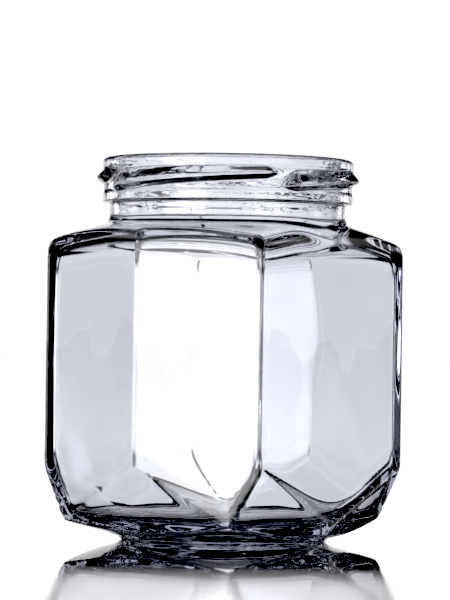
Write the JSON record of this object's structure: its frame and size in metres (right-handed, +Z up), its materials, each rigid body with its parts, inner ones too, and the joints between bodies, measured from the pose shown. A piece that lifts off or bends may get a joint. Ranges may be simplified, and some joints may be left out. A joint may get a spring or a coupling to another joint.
{
  "type": "glass jar",
  "caption": "Clear glass jar with a stretched hexagonal body, faceted heel, sloping round shoulder and a wide twist-off neck with lugs, open and without its lid.",
  "frame": {"origin": "middle of the base, on the plane that the jar stands on", "axes": "+Z up through the mouth, X along the long way of the body from tip edge to tip edge, Y across the broad flats"},
  "size_m": [0.0742, 0.0624, 0.0903],
  "materials": {
    "clear_glass": "clear, fire-polished, with slight moulding waves"
  },
  "bodies": {
    "root": {"glass_jar": "clear_glass"}
  },
  "joints": []
}
